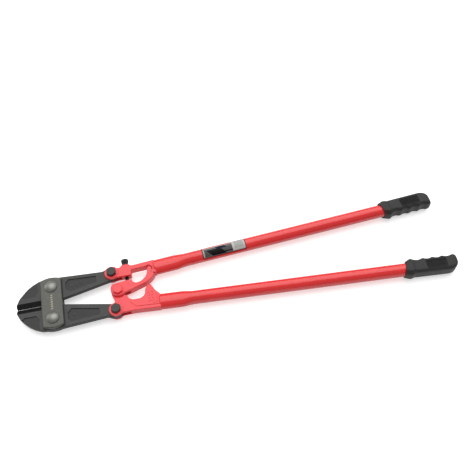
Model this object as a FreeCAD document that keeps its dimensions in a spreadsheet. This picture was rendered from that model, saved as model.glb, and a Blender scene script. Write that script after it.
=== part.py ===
"""Long-handled bolt cutters, lying flat, as an assembly of separate pieces.

Drawing frame: X runs from the jaws to the grips with x = 0 on the line through the two jaw pivots, Y is
across the tool with the adjuster screw on +Y, and z = 0 is the tool's middle plane. Every piece is drawn
there (or along its own handle) and its Placement carries it to the row frame, whose origin lies under the
middle of the tool on the surface it rests on. All sizes are millimetres and degrees.
"""

import FreeCAD, Part
import Sketcher
import math
import os

Vector = FreeCAD.Vector

SIZES = {
    # whole tool
    "jaw_tip": 71.5,          # from the jaw pivots' line forward to the tips
    "tool_middle": 384.9,     # x of the middle of the tool, tips to grip ends
    "rest_height": 18.0,      # middle plane above the surface the tool lies on
    "rest_angle": 4.0,        # each handle to the X axis at rest
    "right_through": 80.0,    # a cut this long goes through any piece
    # pivots
    "jaw_pivot_y": 35.2,
    "link_pivot_x": 124.8,
    "link_pivot_y": 42.7,
    "centre_pivot_x": 133.5,
    "jaw_bolt_radius": 8.0,
    "link_bolt_radius": 6.0,
    "running_fit": 0.05,      # radial clearance of a bolt in a piece that turns on it
    "centre_slack": 1.7,      # room round the centre bolt in the lower head's tongue
    # jaws
    "jaw_thick": 9.6,
    "jaw_edge_round": 1.4,
    "blade_gap": 0.5,         # each cutting edge to the X axis at rest
    "bevel_width": 10.6,
    "edge_land": 0.5,         # half-thickness left along the cutting edge
    "recess_deep": 1.8,
    "bevel_stop": 12.0,       # the ground bevel runs forward from here
    # side plates
    "plate_wide": 43.0,
    "plate_tall": 114.6,
    "plate_thick": 6.2,
    "plate_gap": 0.2,         # between a plate and the jaws
    "plate_end_radius": 48.0,
    "plate_edge_round": 2.5,
    "dome_radius": 12.6,
    "dome_high": 6.3,
    "jaw_nut_across": 24.0,
    "jaw_nut_high": 6.8,
    # forged handle heads and the adjuster arm
    "head_thick": 20.0,
    "web_thick": 17.6,
    "head_round": 1.8,
    "horn_step": 1.1,
    "boss_radius": 14.4,
    "fork_gap": 10.2,         # between the two ears that hold a jaw's tail
    "arm_thick": 18.4,
    "arm_fork_gap": 9.0,
    "tongue_thick": 8.4,
    "boss_round": 0.9,
    "arm_boss_round": 0.6,
    # link and centre bolts
    "hex_across": 18.0,
    "hex_high": 7.0,
    "centre_hex_high": 5.2,
    "nut_high": 5.0,
    "washer_radius": 11.0,
    "washer_thick": 1.5,
    # adjuster screw
    "screw_x": 154.4,
    "screw_radius": 4.0,
    "screw_fit": 0.5,        # room for the arm to swing a little about the screw
    "screw_hole_fit": 0.3,
    "screw_head_radius": 7.7,
    "screw_head_neck": 5.6,
    "screw_head_high": 13.7,
    "screw_seat_y": 57.5,
    "screw_tip_y": 2.0,
    # handle tubes
    "tube_offset": 35.1,      # centre pivot to the tube's axis
    "tube_start": 84.4,       # from the centre pivot's foot to the seam at the head
    "tube_end": 700.0,
    "tube_radius": 14.1,
    "tube_wall": 2.0,
    "oval_half_tall": 17.0,
    "oval_half_thick": 13.0,
    "oval_long": 42.0,
    "taper_long": 26.0,
    "spigot_fit": 0.1,
    "collar_long": 5.4,       # the head swells over this length to the tube's thickness
    "collar_half_tall": 14.2,
    # grips
    "grip_start": 600.0,
    "grip_end": 711.0,
    "grip_collar_at": 13.0,
    "grip_half_tall": 20.5,
    "grip_half_thick": 18.0,
    # label
    "label_start": 187.0,
    "label_long": 95.0,
    "label_thick": 0.25,
    "label_turn": 75.0,       # half of the angle the label wraps round the tube
}

doc = FreeCAD.newDocument("bolt_cutters")
sheet = doc.addObject("Spreadsheet::Sheet", "Sizes")
for row, (alias, value) in enumerate(SIZES.items(), start=1):
    sheet.set(f"A{row}", alias)
    sheet.set(f"B{row}", str(value))
    sheet.setAlias(f"B{row}", alias)
doc.recompute()


def size(alias):
    """The number that the sheet holds under an alias."""
    return float(sheet.get(alias))


PARTS = []
FRONT = 1
REAR = -1
UPPER = 1
LOWER = -1


# ---------------------------------------------------------------- drawing helpers

def origin_plane(body, role):
    """One of the body's own origin planes."""
    return next(f for f in body.Origin.OriginFeatures if f.Role == role)


def new_body(label):
    """An empty body whose label is its node's name."""
    body = doc.addObject("PartDesign::Body", label)
    body.Label = label
    PARTS.append(body)
    return body


def new_sketch(body, name, role="XY_Plane", offset=None):
    """A sketch on one of the body's planes, lifted off it by an expression on the sheet."""
    sketch = body.newObject("Sketcher::SketchObject", name)
    sketch.AttachmentSupport = [(origin_plane(body, role), "")]
    sketch.MapMode = "FlatFace"
    if offset:
        sketch.setExpression("AttachmentOffset.Base.z", offset)
    return sketch


def add_outline(sketch, corners):
    """Closes a loop through corners (x, y) or (x, y, radius), each rounded by its radius."""
    count = len(corners)
    points = [Vector(c[0], c[1], 0) for c in corners]
    rounds = [c[2] if len(c) > 2 else 0.0 for c in corners]
    entries, exits, arcs = [], [], []
    for i, corner in enumerate(points):
        back = (points[i - 1] - corner).normalize()
        ahead = (points[(i + 1) % count] - corner).normalize()
        if rounds[i] == 0.0:
            entries.append(corner)
            exits.append(corner)
            arcs.append(None)
            continue
        half = back.getAngle(ahead) / 2.0
        reach = rounds[i] / math.tan(half)
        entry = corner + back * reach
        leave = corner + ahead * reach
        centre = corner + (back + ahead).normalize() * (rounds[i] / math.sin(half))
        middle = centre + (corner - centre).normalize() * rounds[i]
        entries.append(entry)
        exits.append(leave)
        arcs.append(Part.Arc(entry, middle, leave))
    for i in range(count):
        if arcs[i] is not None:
            sketch.addGeometry(arcs[i], False)
        start = exits[i]
        end = entries[(i + 1) % count]
        if (end - start).Length > 1e-6:
            sketch.addGeometry(Part.LineSegment(start, end), False)


def add_circle(sketch, radius, centre=("0", "0"), start=(0.0, 0.0)):
    """A circle whose radius and centre follow the sheet; start is a rough first place for the solver."""
    circle = sketch.addGeometry(Part.Circle(Vector(start[0], start[1], 0), Vector(0, 0, 1), 5.0), False)
    sketch.addConstraint(Sketcher.Constraint("Radius", circle, 5.0))
    sketch.setExpression(f"Constraints[{sketch.ConstraintCount - 1}]", radius)
    for kind, place, first in (("DistanceX", centre[0], start[0]), ("DistanceY", centre[1], start[1])):
        sketch.addConstraint(Sketcher.Constraint(kind, -1, 1, circle, 3, first))
        sketch.setExpression(f"Constraints[{sketch.ConstraintCount - 1}]", place)


def add_hexagon(sketch, across, centre):
    """A hexagon of the given width across flats, corners pointing along Y."""
    corner = across / math.sqrt(3.0)
    turns = [math.radians(60 * k) for k in range(6)]
    add_outline(sketch, [
        (centre[0] + corner * math.sin(turn), centre[1] + corner * math.cos(turn)) for turn in turns
    ])


def pad(body, name, sketch, length, symmetric=False, reverse=False):
    """Pads a sketch by a length on the sheet."""
    feature = body.newObject("PartDesign::Pad", name)
    feature.Profile = sketch
    feature.SideType = "Symmetric" if symmetric else "One side"
    feature.Reversed = reverse
    feature.setExpression("Length", length)
    doc.recompute()
    return feature


def pocket(body, name, sketch, length, symmetric=False, reverse=False):
    """Cuts a sketch out by a length on the sheet, and refuses a cut that removes nothing."""
    before = body.Shape.Volume
    feature = body.newObject("PartDesign::Pocket", name)
    feature.Profile = sketch
    feature.SideType = "Symmetric" if symmetric else "One side"
    feature.Reversed = reverse
    feature.setExpression("Length", length)
    doc.recompute()
    if before - body.Shape.Volume < 0.5:
        raise RuntimeError(f"{body.Label}: {name} removed nothing")
    return feature


def turn(body, name, sketch, groove=False):
    """Revolves a sketch a full turn about its own vertical axis, adding or removing material."""
    before = body.Shape.Volume if groove else 0.0
    feature = body.newObject("PartDesign::Groove" if groove else "PartDesign::Revolution", name)
    feature.Profile = sketch
    feature.ReferenceAxis = (sketch, ["V_Axis"])
    feature.Angle = 360.0
    doc.recompute()
    if groove and before - body.Shape.Volume < 0.1:
        raise RuntimeError(f"{body.Label}: {name} removed nothing")
    return feature


WHOLE_EDGE = (0.0, 0.5, 1.0)
MIDDLE_ONLY = (0.5,)


def edges_where(feature, test, shares=WHOLE_EDGE):
    """Names of the feature's edges that pass the test at each of these shares of their length."""
    names = []
    for number, edge in enumerate(feature.Shape.Edges, start=1):
        first, last = edge.ParameterRange
        if all(test(edge.valueAt(first + (last - first) * share)) for share in shares):
            names.append(f"Edge{number}")
    return names


def round_edges(body, name, feature, radius, test, shares=WHOLE_EDGE):
    """Fillets every edge of the feature that passes the test."""
    fillet = body.newObject("PartDesign::Fillet", name)
    fillet.Base = (feature, edges_where(feature, test, shares))
    fillet.setExpression("Radius", radius)
    doc.recompute()
    return fillet


def place(body):
    """Carries a piece drawn in the tool's frame to the row frame."""
    body.setExpression("Placement.Base.x", "-Sizes.tool_middle")
    body.setExpression("Placement.Base.z", "Sizes.rest_height")


def place_on_handle(body, side):
    """Carries a piece drawn along its own handle (x from the centre pivot) to the row frame."""
    body.Placement.Rotation = FreeCAD.Rotation(Vector(0, 0, side), 1.0)
    body.setExpression("Placement.Rotation.Angle", "Sizes.rest_angle")
    body.setExpression(
        "Placement.Base.x",
        "Sizes.centre_pivot_x - Sizes.tool_middle - Sizes.tube_offset * sin(Sizes.rest_angle * 1 deg)")
    body.setExpression("Placement.Base.y", f"{side} * Sizes.tube_offset * cos(Sizes.rest_angle * 1 deg)")
    body.setExpression("Placement.Base.z", "Sizes.rest_height")


def mirrored(corners, side):
    """The corners as drawn, or turned over the X axis for a lower piece."""
    return [(c[0], side * c[1], *c[2:]) for c in corners]


# ---------------------------------------------------------------- jaws

JAW_OUTLINE = [
    (-70.5, 0.5), (-71.5, 4.1), (-71.5, 10.0, 3), (-66.5, 21.2, 30), (-61.0, 29.2, 60), (-50.0, 41.0, 60),
    (-40.0, 48.8, 60), (-30.0, 53.8, 60), (-22.0, 56.8, 30), (0.0, 58.3, 200), (22.0, 57.3, 200),
    (60.0, 54.9, 400), (107.0, 52.0, 15), (116.0, 57.0, 10), (133.6, 57.0, 9), (136.6, 46.0, 20),
    (136.0, 33.8, 9),
    (126.0, 28.7, 12), (118.0, 26.5, 100), (60.0, 14.2), (30.0, 8.1, 20), (22.0, 6.6, 6), (2.0, 4.1, 6),
    (-12.0, 4.1, 3.4), (-18.0, 0.5),
]
BLADE_RECESS = [
    (-28.0, 76.8), (-28.0, 31.2, 1.5), (-34.0, 21.5, 1.5), (-57.5, 21.5, 1.5), (-61.5, 26.1, 1.5),
    (-85.0, 30.7), (-85.0, 76.8),
]
TAIL_RECESS = [
    (28.5, 27.6, 1.5), (28.5, 41.5, 1.5), (35.0, 48.6, 1.5), (60.0, 46.7, 60), (92.0, 44.8, 1.5),
    (92.0, 30.9, 1.5), (37.0, 19.0, 1.5),
]


def make_jaw(label, side):
    """A forged jaw: bevelled blade, pivot hole, and a tail that the handle pulls."""
    body = new_body(label)
    outline = new_sketch(body, label + "_outline")
    add_outline(outline, mirrored(JAW_OUTLINE, side))
    blank = pad(body, label + "_blank", outline, "Sizes.jaw_thick", symmetric=True)

    face = size("jaw_thick") / 2.0
    sharp = 4.2

    def outer_rim(point):
        """On a flat face's rim, but not along the cutting edge, which stays sharp."""
        on_face = abs(abs(point.z) - face) < 1e-4
        return on_face and not (point.x < -11.0 and side * point.y < sharp)

    round_edges(body, label + "_rounding", blank, "Sizes.jaw_edge_round", outer_rim)

    holes = new_sketch(body, label + "_holes")
    add_circle(holes, "Sizes.jaw_bolt_radius + Sizes.running_fit", ("0", f"{side} * Sizes.jaw_pivot_y"),
               (0.0, side * 34.0))
    add_circle(holes, "Sizes.link_bolt_radius + Sizes.running_fit",
               ("Sizes.link_pivot_x", f"{side} * Sizes.link_pivot_y"), (124.0, side * 41.0))
    pocket(body, label + "_bores", holes, "Sizes.jaw_thick * 2", symmetric=True)

    for face_side, word in ((FRONT, "front"), (REAR, "rear")):
        for corners, part in ((BLADE_RECESS, "blade"), (TAIL_RECESS, "tail")):
            recess = new_sketch(body, f"{label}_{part}_{word}", offset=f"{face_side} * Sizes.jaw_thick / 2")
            add_outline(recess, mirrored(corners, side))
            pocket(body, f"{label}_{part}_recess_{word}", recess, "Sizes.recess_deep",
                   reverse=face_side == REAR)
        bevel = new_sketch(body, f"{label}_bevel_{word}", "YZ_Plane", offset="-Sizes.bevel_stop")
        edge = side * size("blade_gap")
        start = side * (size("blade_gap") + size("bevel_width"))
        land = face_side * size("edge_land")
        top = face_side * face
        beyond = face_side * (face + 5.0)
        add_outline(bevel, [(edge, land), (start, top), (start, beyond), (edge - side * 5.0, beyond),
                            (edge - side * 5.0, land)])
        pocket(body, f"{label}_grind_{word}", bevel, "Sizes.jaw_tip", reverse=False)
    place(body)
    return body


# ---------------------------------------------------------------- side plates and their bolts

def make_side_plate(label, face_side):
    """A plate that ties the two jaw pivots together, one in front of the jaws and one behind."""
    body = new_body(label)
    start = f"{face_side} * (Sizes.jaw_thick / 2 + Sizes.plate_gap)"
    outline = new_sketch(body, label + "_outline", offset=start)
    half_wide = size("plate_wide") / 2.0
    end = size("plate_tall") / 2.0
    radius = size("plate_end_radius")
    corner = end - (radius - math.sqrt(radius ** 2 - half_wide ** 2))
    top = Part.Arc(Vector(half_wide, corner, 0), Vector(0, end, 0), Vector(-half_wide, corner, 0))
    bottom = Part.Arc(Vector(-half_wide, -corner, 0), Vector(0, -end, 0), Vector(half_wide, -corner, 0))
    outline.addGeometry(top, False)
    left = Part.LineSegment(Vector(-half_wide, corner, 0), Vector(-half_wide, -corner, 0))
    right = Part.LineSegment(Vector(half_wide, -corner, 0), Vector(half_wide, corner, 0))
    outline.addGeometry(left, False)
    outline.addGeometry(bottom, False)
    outline.addGeometry(right, False)
    blank = pad(body, label + "_blank", outline, "Sizes.plate_thick", reverse=face_side == REAR)
    outside = face_side * (size("jaw_thick") / 2.0 + size("plate_gap") + size("plate_thick"))
    round_edges(body, label + "_rounding", blank, "Sizes.plate_edge_round",
                lambda p: abs(p.z - outside) < 1e-4)
    holes = new_sketch(body, label + "_holes")
    for side in (UPPER, LOWER):
        add_circle(holes, "Sizes.jaw_bolt_radius", ("0", f"{side} * Sizes.jaw_pivot_y"), (0.0, side * 34.0))
    pocket(body, label + "_bores", holes, "Sizes.right_through", symmetric=True)
    place(body)
    return body


def make_jaw_bolt(label, side):
    """A domed pivot bolt through both plates and one jaw."""
    body = new_body(label)
    profile = new_sketch(body, label + "_profile", "XZ_Plane")
    seat = size("jaw_thick") / 2.0 + size("plate_gap") + size("plate_thick")
    shank = size("jaw_bolt_radius")
    tip = seat + size("jaw_nut_high")
    rim = 1.6
    dome = size("dome_radius")
    rise = size("dome_high") - rim
    ball = (dome ** 2 + rise ** 2) / (2.0 * rise)
    half = math.asin(dome / ball) / 2.0
    centre = seat + size("dome_high") - ball
    top = Vector(0, seat + size("dome_high"), 0)
    shoulder = Vector(dome, seat + rim, 0)
    middle = Vector(ball * math.sin(half), centre + ball * math.cos(half), 0)
    points = [shoulder, Vector(dome, seat, 0), Vector(shank, seat, 0), Vector(shank, -tip + 0.8, 0),
              Vector(shank - 0.8, -tip, 0), Vector(0, -tip, 0), top]
    profile.addGeometry(Part.Arc(top, middle, shoulder), False)
    for first, last in zip(points, points[1:]):
        profile.addGeometry(Part.LineSegment(first, last), False)
    turn(body, label + "_turned", profile)
    body.setExpression("Placement.Base.x", "-Sizes.tool_middle")
    body.setExpression("Placement.Base.y", f"{side} * Sizes.jaw_pivot_y")
    body.setExpression("Placement.Base.z", "Sizes.rest_height")
    return body


def make_nut(label, across, high, bore, start, x_place, y_place):
    """A hexagon nut with chamfered corners, hanging from a start height on the underside."""
    body = new_body(label)
    outline = new_sketch(body, label + "_outline", offset=f"-({start})")
    add_hexagon(outline, size(across), (0.0, 0.0))
    pad(body, label + "_blank", outline, high, reverse=True)
    hole = new_sketch(body, label + "_hole")
    add_circle(hole, bore)
    pocket(body, label + "_bore", hole, "Sizes.right_through", symmetric=True)
    trim = new_sketch(body, label + "_trim", "XZ_Plane")
    bottom = body.Shape.BoundBox.ZMin
    flat = size(across) / 2.0 - 0.3
    corner = size(across) / math.sqrt(3.0) + 1.0
    drop = (corner - flat) * math.tan(math.radians(28.0))
    add_outline(trim, [(flat, bottom), (corner, bottom + drop), (corner, bottom - 1.0), (flat, bottom - 1.0)])
    turn(body, label + "_chamfer", trim, groove=True)
    body.setExpression("Placement.Base.x", x_place)
    body.setExpression("Placement.Base.y", y_place)
    body.setExpression("Placement.Base.z", "Sizes.rest_height")
    return body


# ---------------------------------------------------------------- link and centre bolts

def make_hex_bolt(label, head_high, seat, tip, x_place, y_place):
    """A hexagon-head bolt: head on the front face, shank through to the rear."""
    body = new_body(label)
    head = new_sketch(body, label + "_head", offset=seat)
    add_hexagon(head, size("hex_across"), (0.0, 0.0))
    pad(body, label + "_head_pad", head, head_high)
    trim = new_sketch(body, label + "_trim", "XZ_Plane")
    top = body.Shape.BoundBox.ZMax
    flat = size("hex_across") / 2.0 - 0.4
    corner = size("hex_across") / math.sqrt(3.0) + 1.0
    drop = (corner - flat) * math.tan(math.radians(30.0))
    add_outline(trim, [(flat, top), (flat, top + 1.0), (corner, top + 1.0), (corner, top - drop)])
    turn(body, label + "_head_chamfer", trim, groove=True)
    shank = new_sketch(body, label + "_shank", offset=seat)
    add_circle(shank, "Sizes.link_bolt_radius")
    feature = pad(body, label + "_shank_pad", shank, f"({seat}) + ({tip})", reverse=True)
    end = body.Shape.BoundBox.ZMin
    chamfer = body.newObject("PartDesign::Chamfer", label + "_point")
    chamfer.Base = (feature, edges_where(feature, lambda p: abs(p.z - end) < 1e-4))
    chamfer.Size = 0.8
    doc.recompute()
    body.setExpression("Placement.Base.x", x_place)
    body.setExpression("Placement.Base.y", y_place)
    body.setExpression("Placement.Base.z", "Sizes.rest_height")
    return body


def make_spring_washer(label, start, x_place, y_place):
    """A split spring washer under a nut."""
    body = new_body(label)
    ring = new_sketch(body, label + "_ring", offset=f"-({start})")
    add_circle(ring, "Sizes.washer_radius - 1.5")
    add_circle(ring, "Sizes.link_bolt_radius")
    pad(body, label + "_pad", ring, "Sizes.washer_thick", reverse=True)
    split = new_sketch(body, label + "_split")
    add_outline(split, [(3.0, -0.4), (14.0, 1.4), (14.0, 2.2), (3.0, 0.4)])
    pocket(body, label + "_gap", split, "Sizes.right_through", symmetric=True)
    body.setExpression("Placement.Base.x", x_place)
    body.setExpression("Placement.Base.y", y_place)
    body.setExpression("Placement.Base.z", "Sizes.rest_height")
    return body


# ---------------------------------------------------------------- upper handle head

def handle_line(x, side):
    """The point of a handle tube's axis, x along it from the centre pivot's foot."""
    angle = math.radians(size("rest_angle"))
    foot = Vector(size("centre_pivot_x") - size("tube_offset") * math.sin(angle),
                  side * size("tube_offset") * math.cos(angle), 0)
    return foot + Vector(math.cos(angle), side * math.sin(angle), 0) * x


def end_corner(y, side):
    """A corner of a head's end face, which is square to the handle where the tube starts."""
    seam = handle_line(size("tube_start"), side)
    slope = side * math.tan(math.radians(size("rest_angle")))
    return (seam.x - (y - seam.y) * slope, y)


UPPER_HEAD_OUTLINE = [
    (110.4, 42.7), (110.4, 57.1, 14.0), (132.0, 57.1, 8), (137.0, 52.1, 8), (142.5, 52.1, 3),
    (148.0, 57.5, 3), (161.0, 57.5, 3), (166.0, 52.3, 4), end_corner(56.2, UPPER),
    end_corner(24.8, UPPER), (208.6, 26.6, 1.0), (208.6, 40.9, 3.5), (202.0, 46.1, 3.5),
    (197.0, 43.3, 1.5), (165.0, 41.6, 3.0), (165.0, 29.5, 2.0), (138.0, 29.9, 20), (124.8, 28.3, 10),
    (110.4, 28.9, 13.0),
]


def stub_sketch(body, name, side, along, tall, thick):
    """An ellipse square to the handle, `along` it from the centre pivot's foot, in a head's own frame."""
    sketch = new_sketch(body, name, "YZ_Plane")
    middle = handle_line(along, side)
    sketch.AttachmentOffset = FreeCAD.Placement(
        Vector(middle.y, 0, middle.x), FreeCAD.Rotation(Vector(0, 1, 0), side * size("rest_angle")))
    sketch.addGeometry(Part.Ellipse(Vector(tall, 0, 0), Vector(0, thick, 0), Vector(0, 0, 0)), False)
    return sketch


def add_spigot(body, label, side):
    """The collar that swells to the tube's thickness, and the oval stub that the tube is pressed over."""
    seam = size("tube_start")
    long = size("collar_long")
    tall = size("collar_half_tall")
    thin = size("web_thick") / 2.0 - 0.3
    collar = body.newObject("PartDesign::AdditiveLoft", label + "_collar")
    collar.Profile = stub_sketch(body, label + "_collar_foot", side, seam - long, tall, thin)
    collar.Sections = [stub_sketch(body, label + "_collar_end", side, seam, tall + 1.0,
                                   size("oval_half_thick") - 0.1)]
    collar.Ruled = True
    doc.recompute()
    wall = size("tube_wall") + size("spigot_fit")
    root = stub_sketch(body, label + "_spigot", side, seam - 1.0, size("oval_half_tall") - wall - 1.8,
                       size("oval_half_thick") - wall)
    return pad(body, label + "_spigot_pad", root, "Sizes.oval_long + 1.0")


def make_upper_head():
    """The forged head of the upper handle: fork for the jaw's tail, screw boss and knuckle socket."""
    label = "upper_handle_head"
    body = new_body(label)
    outline = new_sketch(body, label + "_outline")
    add_outline(outline, UPPER_HEAD_OUTLINE)
    blank = pad(body, label + "_blank", outline, "Sizes.web_thick", symmetric=True)
    face = size("web_thick") / 2.0
    seam = handle_line(size("tube_start"), UPPER).x
    round_edges(body, label + "_rounding", blank, "Sizes.head_round",
                lambda p: abs(abs(p.z) - face) < 1e-4 and p.x < seam - 1.5, MIDDLE_ONLY)
    add_boss(body, label, UPPER)
    add_fork(body, label, [(95.0, 76.8), (141.4, 76.8), (141.4, 36.4, 3), (149.0, 20.5), (95.0, 20.5)])
    hole = new_sketch(body, label + "_screw_hole", "XZ_Plane", offset="-20")
    add_circle(hole, "Sizes.screw_radius + Sizes.screw_hole_fit", ("Sizes.screw_x", "0"), (155.0, 0.0))
    pocket(body, label + "_screw_bore", hole, "Sizes.right_through")
    add_spigot(body, label, UPPER)
    place(body)
    return body


def add_boss(body, label, side):
    """The raised round pads of the two ears, and the bolt hole through them."""
    pads = new_sketch(body, label + "_boss")
    add_circle(pads, "Sizes.boss_radius", ("Sizes.link_pivot_x", f"{side} * Sizes.link_pivot_y"),
               (124.0, side * 41.0))
    feature = pad(body, label + "_boss_pad", pads, "Sizes.head_thick", symmetric=True)
    face = size("head_thick") / 2.0
    round_edges(body, label + "_boss_rounding", feature, "Sizes.boss_round",
                lambda p: abs(abs(p.z) - face) < 1e-4)


def add_fork(body, label, corners):
    """The slot between the ears, and the bolt hole across it."""
    slot = new_sketch(body, label + "_slot")
    add_outline(slot, corners)
    pocket(body, label + "_fork", slot, "Sizes.fork_gap", symmetric=True)
    side = UPPER if corners[0][1] > 0 else LOWER
    hole = new_sketch(body, label + "_pin_hole")
    add_circle(hole, "Sizes.link_bolt_radius", ("Sizes.link_pivot_x", f"{side} * Sizes.link_pivot_y"),
               (124.0, side * 41.0))
    pocket(body, label + "_pin_bore", hole, "Sizes.right_through", symmetric=True)


# ---------------------------------------------------------------- lower handle head

LOWER_HEAD_OUTLINE = [
    (110.4, -42.7), (110.4, -30.0, 12.0), (124.6, -27.1, 4.0), (124.6, -19.4, 6.0), (119.5, -8.2, 10.0),
    (121.5, 12.3, 11.8), (145.3, 12.3, 11.8), (145.3, -13.3, 2.0), (149.5, -13.3, 1.5),
    (153.0, -27.5, 15.0), (185.0, -27.5, 15.0), (188.5, -8.2, 8.0), (194.5, 0.2, 2.5),
    (200.5, 0.2, 2.5), (208.0, -15.4, 20.0), end_corner(-24.8, LOWER), end_corner(-56.3, LOWER),
    (160.0, -52.0, 60.0), (137.0, -52.4, 14.0), (129.0, -56.8, 10.0), (110.4, -57.1, 14.0),
]
HORN_PAD = [
    (152.0, -29.1, 2.0), (166.0, -44.5, 4.0), (212.5, -48.3, 2.0), (212.5, -26.6, 3.0), (204.0, -14.3, 15.0),
    (199.4, -2.7, 2.0), (195.8, -2.7, 2.0), (191.2, -9.2, 8.0), (187.6, -30.3, 16.0), (160.0, -30.3, 12.0),
]


def make_lower_head():
    """The forged head of the lower handle: fork for the jaw's tail, stop horn and centre tongue."""
    label = "lower_handle_head"
    body = new_body(label)
    outline = new_sketch(body, label + "_outline")
    add_outline(outline, LOWER_HEAD_OUTLINE)
    blank = pad(body, label + "_blank", outline, "Sizes.web_thick", symmetric=True)
    face = size("web_thick") / 2.0
    seam = handle_line(size("tube_start"), UPPER).x
    round_edges(body, label + "_rounding", blank, "Sizes.head_round",
                lambda p: abs(abs(p.z) - face) < 1e-4 and p.x < seam - 1.5, MIDDLE_ONLY)
    add_boss(body, label, LOWER)
    horn = new_sketch(body, label + "_horn_outline")
    add_outline(horn, HORN_PAD)
    pad(body, label + "_horn_pad", horn, "Sizes.web_thick + 2 * Sizes.horn_step", symmetric=True)
    add_fork(body, label, [(95.0, -76.8), (156.0, -76.8), (154.0, -51.2, 3), (142.0, -43.0, 6),
                           (137.6, -32.2, 6), (126.5, -26.4, 8), (117.0, -23.8), (95.0, -19.0)])
    # The tongue: everything within reach of the adjuster arm's fork is thinned from both faces.
    for face_side, word in ((FRONT, "front"), (REAR, "rear")):
        relief = new_sketch(body, f"{label}_tongue_{word}", offset=f"{face_side} * Sizes.tongue_thick / 2")
        add_outline(relief, [(105.0, 25.6), (105.0, -20.1), (140.0, -20.1, 10), (150.0, -13.2, 2),
                             (160.0, -12.3), (160.0, 25.6)])
        pocket(body, f"{label}_tongue_cut_{word}", relief, "Sizes.head_thick", reverse=face_side == FRONT)
    # The centre bolt's slot, long enough for the bolt's path against this handle.
    slot = new_sketch(body, label + "_bolt_slot")
    add_slot(slot, (133.2, 1.1), (135.9, -5.4), size("link_bolt_radius") + size("centre_slack"))
    pocket(body, label + "_bolt_way", slot, "Sizes.right_through", symmetric=True)
    add_spigot(body, label, LOWER)
    place(body)
    return body


def add_slot(sketch, first, last, radius):
    """A round-ended slot between two centres."""
    start = Vector(first[0], first[1], 0)
    end = Vector(last[0], last[1], 0)
    along = (end - start).normalize()
    across = Vector(-along.y, along.x, 0) * radius
    sketch.addGeometry(Part.LineSegment(start + across, end + across), False)
    sketch.addGeometry(Part.Arc(end + across, end + along * radius, end - across), False)
    sketch.addGeometry(Part.LineSegment(end - across, start - across), False)
    sketch.addGeometry(Part.Arc(start - across, start - along * radius, start + across), False)


# ---------------------------------------------------------------- adjuster arm and screw

ARM_OUTLINE = [
    (119.0, 0.0), (119.0, 9.2, 14.0), (123.5, 15.8, 2.5), (164.0, 20.4, 2.5), (164.8, 14.3, 6.0),
    (170.5, 9.6, 6.0),
    (182.0, 10.8, 20.0), (197.8, 23.5, 22.0), (197.8, 42.5, 4.9), (207.6, 42.5, 4.9), (207.6, 25.8, 1.0),
    (213.6, 24.2, 1.5), (206.0, 14.3, 30.0), (193.0, 5.7, 40.0), (165.0, -3.5, 100.0), (148.0, -8.2, 20.0),
    (139.0, -14.2, 10.0), (119.0, -14.2, 14.0),
]


def make_adjuster_arm():
    """The hooked arm between the centre bolt and the knuckle, forked over the lower head's tongue."""
    label = "adjuster_arm"
    body = new_body(label)
    outline = new_sketch(body, label + "_outline")
    add_outline(outline, ARM_OUTLINE)
    blank = pad(body, label + "_blank", outline, "Sizes.arm_thick", symmetric=True)
    face = size("arm_thick") / 2.0
    round_edges(body, label + "_rounding", blank, "Sizes.head_round",
                lambda p: abs(abs(p.z) - face) < 1e-4)
    boss = new_sketch(body, label + "_boss")
    add_circle(boss, "Sizes.boss_radius - 1.2", ("Sizes.centre_pivot_x", "0"), (133.0, 0.0))
    feature = pad(body, label + "_boss_pad", boss, "Sizes.head_thick", symmetric=True)
    top = size("head_thick") / 2.0
    round_edges(body, label + "_boss_rounding", feature, "Sizes.arm_boss_round",
                lambda p: abs(abs(p.z) - top) < 1e-4)
    slot = new_sketch(body, label + "_slot")
    add_outline(slot, [(100.0, 30.7), (140.0, 30.7), (148.5, 8.2, 6), (153.0, -3.1, 3), (153.0, -30.7),
                       (100.0, -30.7)])
    pocket(body, label + "_fork", slot, "Sizes.arm_fork_gap", symmetric=True)
    holes = new_sketch(body, label + "_pin_hole")
    add_circle(holes, "Sizes.link_bolt_radius", ("Sizes.centre_pivot_x", "0"), (133.0, 0.0))
    pocket(body, label + "_pin_bore", holes, "Sizes.right_through", symmetric=True)
    thread = new_sketch(body, label + "_thread_hole", "XZ_Plane", offset="0")
    add_circle(thread, "Sizes.screw_radius + Sizes.screw_fit", ("Sizes.screw_x", "0"), (155.0, 0.0))
    pocket(body, label + "_thread_bore", thread, "Sizes.right_through", symmetric=True)
    place(body)
    return body


def make_adjuster_screw():
    """The flared-head screw that sets the arm's angle to the upper handle."""
    label = "adjuster_screw"
    body = new_body(label)
    profile = new_sketch(body, label + "_profile", "XY_Plane")
    head = size("screw_head_radius")
    neck = size("screw_head_neck")
    shank = size("screw_radius")
    seat = size("screw_seat_y") + 0.1
    top = seat + size("screw_head_high")
    tip = size("screw_tip_y")
    socket = 3.0
    add_outline(profile, [
        (0.0, tip), (shank - 0.8, tip), (shank, tip + 0.8), (shank, seat), (neck, seat), (neck, seat + 1.5),
        (head, top - 4.0), (head, top - 0.8), (head - 0.8, top), (socket, top), (socket, top - 5.0),
        (0.0, top - 5.0),
    ])
    turn(body, label + "_turned", profile)
    body.setExpression("Placement.Base.x", "Sizes.screw_x - Sizes.tool_middle")
    body.setExpression("Placement.Base.z", "Sizes.rest_height")
    return body


# ---------------------------------------------------------------- tubes, grips and label

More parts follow.
